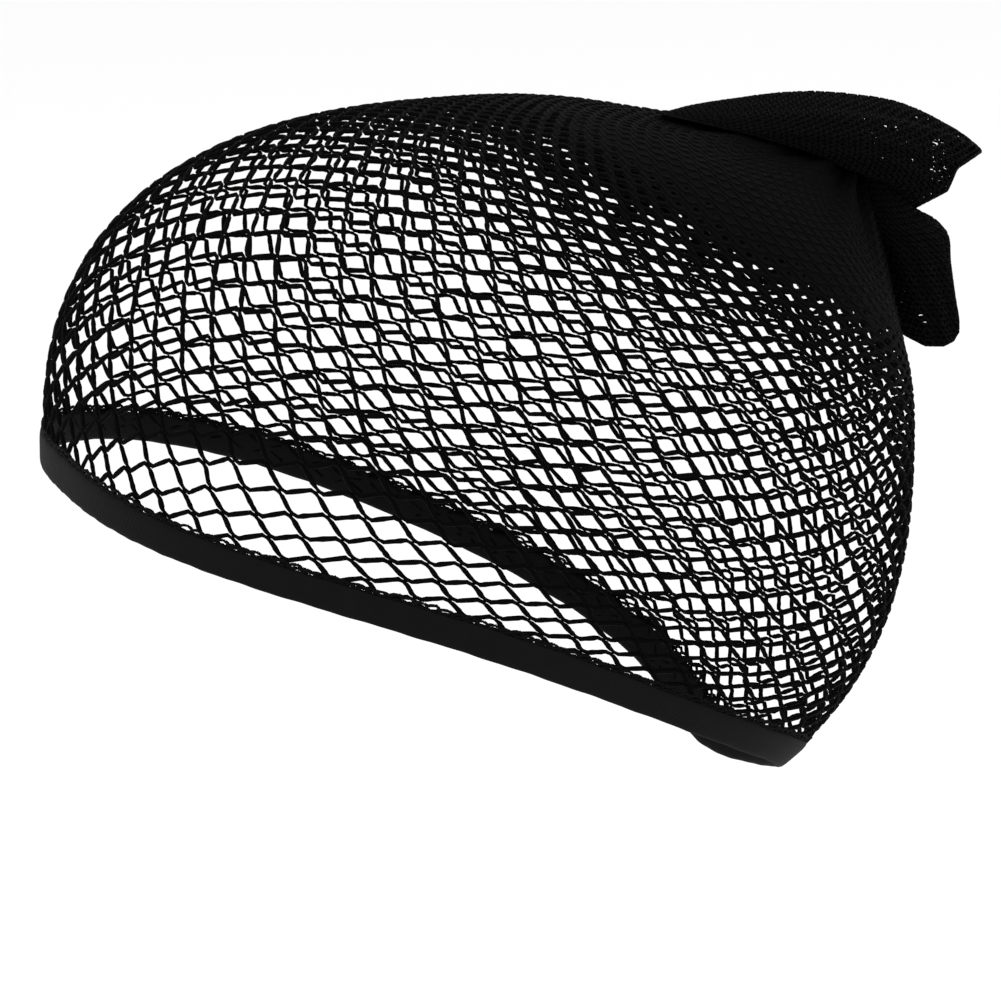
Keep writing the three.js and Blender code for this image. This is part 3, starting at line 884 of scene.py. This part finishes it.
lower_sections = [
    {"down": 0.02, "front": 0, "rear": 0.3, "width": 0.5},
    {"down": 0.12, "front": -0.05, "rear": 0.42, "width": 0.62},
    {"down": 0.26, "front": 0.02, "rear": 0.54, "width": 0.74},
    {"down": 0.36, "front": 0.06, "rear": 0.78, "width": 0.82},
    {"down": 0.41, "front": 0.1, "rear": 0.83, "width": 0.88},
    {"down": 0.57, "front": 0.18, "rear": 0.87, "width": 0.96},
    {"down": 0.73, "front": 0.26, "rear": 0.91, "width": 1},
    {"down": 0.9, "front": 0.34, "rear": 0.955, "width": 0.96},
    {"down": 1.06, "front": 0.4, "rear": 0.93, "width": 0.86},
]
# Outlines of the lobes as seen from the cap's left and a little to the front, in metres behind and above
# the neck's centre. The cut edges run along that line of sight: for each metre to the left a cut stands
# cut_forward metres further forward and cut_upward metres higher.
cut_forward = 0.49
cut_upward = 0.262
upper_cut = np.array([[0.0172, -0.0122], [0.025, -0.009], [0.0272, -0.0041], [0.0331, -0.0009]])
lower_cut = np.array(
    [
        [0.009, -0.0377],
        [0.0162, -0.0419],
        [0.0205, -0.0442],
        [0.025, -0.0447],
        [0.0275, -0.0438],
        [0.0285, -0.042],
    ]
)
ruffle_yarn = {
    "half_link": 0.00045,
    "pitches": [0.0004, 0.001, 0.0021],
    "radii": [0.0002, 0.00032, 0.0004],
}
# The lobes lie on the crown's yarn, whose outside is crown_outside off the hollow's wall
ruffle_lift = 0.0008
crown_outside = 0.0012
ruffle_tables = tent_tables(crown_outside)
ruffle_rng = np.random.default_rng(80)
broad_fold = 0.0011
narrow_fold = 0.0006
fold_inset = 0.0008
full_fold_half = 0.012
thinnest_half = 0.0006


def ruffle_ripple(angle, share, half):
    """How far the folds of a lobe stand out, from its root to its edge, less where it is slender."""
    broad = np.cos(6 * angle + 1.1 * np.sin(2 * angle))
    narrow = np.cos(13 * angle + 2.5 * share + 0.7)
    height = broad_fold * broad + narrow_fold * narrow - fold_inset
    return share * np.clip(half / full_fold_half, 0, 1) * height


def off_crown(points):
    """Points that would lie inside the crown, moved straight out on to it."""
    reach, way, opening, turn = seen_from_hollow(points)
    crown = cap_radius(opening, turn, crown_outside, ruffle_tables) + ruffle_lift
    return hollow_centre + way * np.maximum(reach, crown)[..., None]


def upper_lobe(wales, courses, shrink):
    """Place of the upper lobe's yarn by wale and course, with shrink taken off its half sizes."""

    def place(wale, course):
        share = upper_span * course / courses
        angle = 2 * math.pi * wale / wales
        section = section_values(upper_sections, "along", share)
        half = (section["top"] - section["bottom"]) / 2 * upper_height
        ripple = ruffle_ripple(angle, share, half) - shrink
        tall = np.maximum(half + ripple, thinnest_half)
        wide = np.maximum(section["width"] * upper_half_width + ripple, thinnest_half)
        middle_up = (section["top"] + section["bottom"]) / 2 * upper_height
        x = wide * np.sin(angle)
        y = (upper_front + share) * upper_length + 0 * angle
        z = middle_up + tall * np.cos(angle)
        return off_crown(neck_centre + np.stack([x, y, z], axis=-1))

    return place


def lower_lobe(wales, courses, shrink):
    """Place of the lower lobe's yarn by wale and course, with shrink taken off its half sizes."""

    def place(wale, course):
        share = lower_start + lower_span * course / courses
        angle = 2 * math.pi * wale / wales
        section = section_values(lower_sections, "down", share)
        half = (section["rear"] - section["front"]) / 2 * lower_reach
        ripple = ruffle_ripple(angle, share, half) - shrink
        deep = np.maximum(half + ripple, thinnest_half)
        wide = np.maximum(section["width"] * lower_half_width + ripple, thinnest_half)
        middle_back = (section["front"] + section["rear"]) / 2 * lower_reach
        x = wide * np.sin(angle)
        y = middle_back + deep * np.cos(angle)
        z = -share * lower_drop + 0 * angle
        return off_crown(neck_centre + np.stack([x, y, z], axis=-1))

    return place


def seen_from_left(points):
    """How far points look behind and above the neck's centre, along the cut edges."""
    from_neck = points - neck_centre
    back = from_neck[..., 1] + cut_forward * from_neck[..., 0]
    up = from_neck[..., 2] - cut_upward * from_neck[..., 0]
    return from_neck, back, up


def put_back(from_neck, back, up):
    """Points at the same distance to the left that look as far behind and above as given."""
    y = back - cut_forward * from_neck[..., 0]
    z = up + cut_upward * from_neck[..., 0]
    return off_crown(neck_centre + np.stack([from_neck[..., 0], y, z], axis=-1))


def cut_upper(points):
    """The upper lobe's points, with those beyond its outline drawn back on to it."""
    from_neck, back, up = seen_from_left(points)
    back = np.minimum(back, upper_cut[-1, 0])
    share = back / upper_length - upper_front
    top = section_values(upper_sections, "along", share)["top"] * upper_height
    line = np.interp(back, upper_cut[:, 0], upper_cut[:, 1])
    up = np.minimum(up, top)
    up = np.where(back > upper_cut[0, 0], np.maximum(up, line), up)
    return put_back(from_neck, back, up)


def cut_lower(points):
    """The lower lobe's points, with those beyond its outline drawn back on to it."""
    from_neck, back, up = seen_from_left(points)
    up = np.maximum(up, np.interp(back, lower_cut[:, 0], lower_cut[:, 1]))
    rear = section_values(lower_sections, "down", -up / lower_drop)["rear"] * lower_reach
    back = np.minimum(back, rear)
    return put_back(from_neck, back, up)


ruffle_yarn_material = yarn_material(
    "ruffle_yarn",
    dark=(0.0032, 0.0032, 0.0035),
    light=(0.006, 0.006, 0.0065),
    ply_length=0.0015,
    ply_depth=0.4,
    fuzz_scale=7000,
    bump_distance=0.00012,
    sheen=0.012,
)
# The folds inside a lobe are thin between two of its courses, where many pin-size holes show
ruffle_layers = {
    "topknot_ruffle_upper": {
        "lobe": upper_lobe, "cut": cut_upper, "wales": 48, "courses": 60, "thin": (43, 56)
    },
    "topknot_ruffle_lower": {
        "lobe": lower_lobe, "cut": cut_lower, "wales": 44, "courses": 36, "thin": (23, 27)
    },
}
outer_shrink = 0.0006
inner_shrink = 0.0012
fold_unevenness = 0.00006
holes_where_thin = 0.5
holes_elsewhere = 0.02


def inner_folds(name, place, wales, courses, cut, thin, rng):
    """Sheet of close folds inside a lobe, with pin-size holes."""
    course, wale = np.meshgrid(
        np.linspace(0, courses, 2 * courses + 1), np.arange(0, wales, 0.5), indexing="ij"
    )
    points = cut(place(wale, course))
    points = points + rng.normal(0, fold_unevenness, points.shape)
    ids = np.arange(course.size).reshape(course.shape)
    across = np.roll(ids, -1, axis=1)
    faces = np.stack([ids[:-1], across[:-1], across[1:], ids[1:]], axis=-1).reshape(-1, 4)
    face_course = course[:-1].ravel()
    in_thin_part = (face_course > thin[0]) & (face_course < thin[1])
    missing = np.where(in_thin_part, holes_where_thin, holes_elsewhere)
    whole = rng.random(len(faces)) > missing
    return mesh_object(
        name, points.reshape(-1, 3).tolist(), faces[whole].tolist(), ruffle_yarn_material
    )


for seed, (name, layer) in enumerate(ruffle_layers.items()):
    wales = layer["wales"]
    courses = layer["courses"]
    place = layer["lobe"](wales, courses, outer_shrink)
    shifts = even_shifts(ruffle_rng, courses, wales, across=0.07, up=0.1)
    points, radii = zigzag_courses(0, courses, wales, place, ruffle_yarn, shifts)
    # Two stations of each leg are enough for the small cells
    points = points.reshape(courses, -1, len(leg_stations), 3)[:, :, 2::4].reshape(courses, -1, 3)
    radii = radii.reshape(courses, -1, len(leg_stations))[:, :, 2::4].reshape(courses, -1)
    outer = spin_yarn(
        name,
        layer["cut"](points),
        radii,
        keep=np.ones(radii.shape, bool),
        closed=True,
        sides=4,
        unevenness=0.15,
        seed=61 + seed,
        material=ruffle_yarn_material,
    )
    inner_place = layer["lobe"](wales, courses, inner_shrink)
    inner = inner_folds(
        name + "_folds", inner_place, wales, courses, layer["cut"], layer["thin"], ruffle_rng
    )
    for piece in (outer, inner):
        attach(piece, "root")
        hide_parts("topknot_ruffle")

# The stage: a pale floor far below the cap, a white surround with two large soft lamps, and a camera to
# the cap's left and front, a little above it.

floor_reach = 14
floor_level = -0.42
floor_paint = bpy.data.materials.new("floor_paint")
floor_paint.use_nodes = True
floor_shader = floor_paint.node_tree.nodes["Principled BSDF"]
floor_shader.inputs["Base Color"].default_value = (0.92, 0.92, 0.92, 1)
floor_shader.inputs["Roughness"].default_value = 0.9
floor_shader.inputs["Specular IOR Level"].default_value = 0.1
floor_corners = [
    (x * floor_reach, y * floor_reach, floor_level) for x, y in ((-1, -1), (1, -1), (1, 1), (-1, 1))
]
floor = mesh_object("floor", floor_corners, [(0, 1, 2, 3)], floor_paint)

world = bpy.data.worlds.new("white surround")
bpy.context.scene.world = world
world.use_nodes = True
world.node_tree.nodes["Background"].inputs["Color"].default_value = (1, 1, 1, 1)
world.node_tree.nodes["Background"].inputs["Strength"].default_value = 1


def soft_lamp(name, place, size, power):
    """Square lamp that faces the cap."""
    lamp = bpy.data.lights.new(name, "AREA")
    lamp.size = size
    lamp.energy = power
    holder = bpy.data.objects.new(name, lamp)
    holder.location = place
    aim = Vector(hollow_centre) - Vector(place)
    holder.rotation_euler = aim.to_track_quat("-Z", "Y").to_euler()
    bpy.context.scene.collection.objects.link(holder)


soft_lamp("key_lamp", (0.9, -1.4, 1.5), size=1.2, power=8)
soft_lamp("top_lamp", (0.2, 0.9, 1.8), size=1.4, power=10)

camera_turn = math.radians(20.81)
camera_lift = math.radians(15.857)
camera_distance = 1.1
camera_way = Vector(
    (
        math.cos(camera_turn) * math.cos(camera_lift),
        -math.sin(camera_turn) * math.cos(camera_lift),
        math.sin(camera_lift),
    )
)
camera_data = bpy.data.cameras.new("camera")
camera_data.lens = 179.6
camera_data.sensor_width = 36
camera_data.shift_x = 0.02463
camera_data.shift_y = -0.06333
camera_data.clip_end = 60
camera = bpy.data.objects.new("camera", camera_data)
camera.location = Vector(hollow_centre) + camera_distance * camera_way
camera.rotation_euler = (-camera_way).to_track_quat("-Z", "Y").to_euler()
bpy.context.scene.collection.objects.link(camera)
bpy.context.scene.camera = camera
bpy.context.scene.view_settings.view_transform = "Standard"
